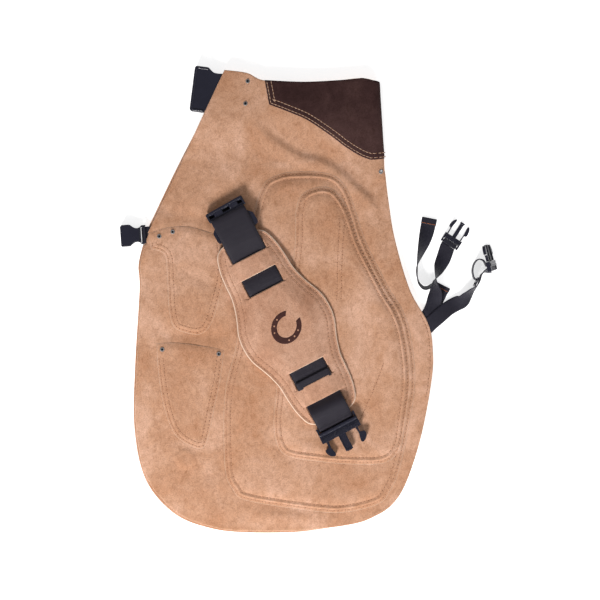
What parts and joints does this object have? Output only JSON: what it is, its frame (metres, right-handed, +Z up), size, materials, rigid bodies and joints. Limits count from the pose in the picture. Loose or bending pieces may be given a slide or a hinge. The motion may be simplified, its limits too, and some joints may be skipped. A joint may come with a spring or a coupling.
{
  "type": "shoeing apron",
  "caption": "Split-hide shoeing apron folded in half and laid flat, with knife pockets, buckled leg straps and a padded back-support belt.",
  "frame": {"origin": "middle of the box of the apron and its belt without the free leg straps, on the surface it lies on", "axes": "+Y from hem to waist, +X from the outer edge of the leg to the centre fold, +Z up from the surface it lies on"},
  "size_m": [0.5091, 0.6253, 0.0304],
  "materials": {
    "tan_hide": "napped split hide, matt, slightly mottled",
    "tan_patch": "napped split hide, matt",
    "yoke_leather": "dark brown suede, matt",
    "pad_leather": "napped split hide with pale cut edges",
    "pad_foam": "closed padding, hidden between the leathers",
    "magnet_steel": "plain disc",
    "rivet_metal": "dull nickel tubular rivet",
    "waist_webbing": "black woven webbing",
    "leg_webbing": "black woven webbing",
    "buckle_plastic": "black moulded acetal, satin with soft highlights"
  },
  "bodies": {
    "root": {"left_leg_panel": "tan_hide", "left_yoke": "yoke_leather", "left_outer_patch": "tan_patch", "left_inner_patch": "tan_patch", "left_upper_pocket": "tan_patch", "left_lower_pocket": "tan_patch", "left_nail_magnet": "magnet_steel", "left_waist_rivets": "rivet_metal", "left_leg_rivets": "rivet_metal", "left_pocket_rivets": "rivet_metal", "left_waist_loop": "waist_webbing", "left_waist_male": "buckle_plastic", "left_leg_loop": "leg_webbing", "left_leg_female": "buckle_plastic", "hide_spine": "tan_hide", "yoke_spine": "yoke_leather", "crotch_rivet": "rivet_metal", "right_leg_flap": "tan_hide", "right_outer_flap": "tan_patch", "right_inner_flap": "tan_patch", "strap_1": "leg_webbing", "strap_1_tail": "leg_webbing", "strap_1_male": "buckle_plastic", "strap_2": "leg_webbing", "strap_2_loop": "leg_webbing", "strap_2_tail": "leg_webbing", "strap_2_slider": "buckle_plastic", "strap_2_male": "buckle_plastic"},
    "right_half": {"right_leg_panel": "tan_hide", "right_yoke": "yoke_leather", "right_outer_patch": "tan_patch", "right_inner_patch": "tan_patch", "right_upper_pocket": "tan_patch", "right_lower_pocket": "tan_patch", "right_nail_magnet": "magnet_steel", "right_waist_rivets": "rivet_metal", "right_leg_rivets": "rivet_metal", "right_pocket_rivets": "rivet_metal", "right_waist_loop": "waist_webbing", "right_waist_female": "buckle_plastic", "right_leg_loop": "leg_webbing"},
    "right_leg_buckle": {"right_leg_female": "buckle_plastic"},
    "belt": {"belt_webbing": "waist_webbing", "belt_tail": "waist_webbing", "belt_female": "buckle_plastic"},
    "belt_plug": {"belt_male": "buckle_plastic"},
    "pad": {"pad_back": "pad_leather", "pad_foam": "pad_foam", "pad_front": "pad_leather"},
    "left_waist_prong_a": {"left_waist_prong_a": "buckle_plastic"},
    "left_waist_prong_b": {"left_waist_prong_b": "buckle_plastic"},
    "strap_1_prong_a": {"strap_1_prong_a": "buckle_plastic"},
    "strap_1_prong_b": {"strap_1_prong_b": "buckle_plastic"},
    "strap_2_prong_a": {"strap_2_prong_a": "buckle_plastic"},
    "strap_2_prong_b": {"strap_2_prong_b": "buckle_plastic"},
    "belt_prong_a": {"belt_prong_a": "buckle_plastic"},
    "belt_prong_b": {"belt_prong_b": "buckle_plastic"}
  },
  "joints": [
    {"name": "apron_opening", "type": "hinge", "parent": "root", "child": "right_half", "pos_m": [0.128, 0, 0.0192], "axis": [0, 1, 0], "range_deg": [0, 100]},
    {"name": "right_leg_buckle_swing", "type": "hinge", "parent": "right_half", "child": "right_leg_buckle", "pos_m": [-0.17878, 0.08718, 0.0102], "axis": [-0.0698, 0.9976, 0], "range_deg": [0, 70]},
    {"name": "belt_lift", "type": "slide", "parent": "right_half", "child": "belt", "axis": [0, 0, 1], "range_m": [0, 0.3]},
    {"name": "pad_slide", "type": "slide", "parent": "belt", "child": "pad", "axis": [0.4602, -0.8878, 0], "range_m": [-0.003, 0.003]},
    {"name": "belt_plug_swing", "type": "hinge", "parent": "belt", "child": "belt_plug", "pos_m": [0.07781, -0.16496, 0.0203], "axis": [-0.8878, -0.4602, 0], "range_deg": [0, 50]},
    {"name": "belt_prong_a_squeeze", "type": "hinge", "parent": "belt_plug", "child": "belt_prong_a", "pos_m": [0.10675, -0.17125, 0.0203], "axis": [0, 0, -1], "range_deg": [0, 6], "stiffness_Nm_per_rad": 0.4},
    {"name": "belt_prong_b_squeeze", "type": "hinge", "parent": "belt_plug", "child": "belt_prong_b", "pos_m": [0.06626, -0.19223, 0.0203], "axis": [0, 0, 1], "range_deg": [0, 6], "stiffness_Nm_per_rad": 0.4},
    {"name": "left_waist_prong_a_squeeze", "type": "hinge", "parent": "root", "child": "left_waist_prong_a", "pos_m": [0.0114, 0.2842, 0.0093], "axis": [0, 0, -1], "range_deg": [0, 6], "stiffness_Nm_per_rad": 0.4},
    {"name": "left_waist_prong_b_squeeze", "type": "hinge", "parent": "root", "child": "left_waist_prong_b", "pos_m": [0.0114, 0.2378, 0.0093], "axis": [0, 0, 1], "range_deg": [0, 6], "stiffness_Nm_per_rad": 0.4},
    {"name": "strap_1_prong_a_squeeze", "type": "hinge", "parent": "root", "child": "strap_1_prong_a", "pos_m": [0.22909, 0.08922, 0.004], "axis": [0, 0, -1], "range_deg": [0, 6], "stiffness_Nm_per_rad": 0.4},
    {"name": "strap_1_prong_b_squeeze", "type": "hinge", "parent": "root", "child": "strap_1_prong_b", "pos_m": [0.24653, 0.0779, 0.004], "axis": [0, 0, 1], "range_deg": [0, 6], "stiffness_Nm_per_rad": 0.4},
    {"name": "strap_2_prong_a_squeeze", "type": "hinge", "parent": "root", "child": "strap_2_prong_a", "pos_m": [0.28156, 0.04992, 0.0229], "axis": [-0.8824, -0.2364, -0.4067], "range_deg": [0, 6], "stiffness_Nm_per_rad": 0.4},
    {"name": "strap_2_prong_b_squeeze", "type": "hinge", "parent": "root", "child": "strap_2_prong_b", "pos_m": [0.28974, 0.05211, 0.0039], "axis": [0.8824, 0.2364, 0.4067], "range_deg": [0, 6], "stiffness_Nm_per_rad": 0.4}
  ]
}
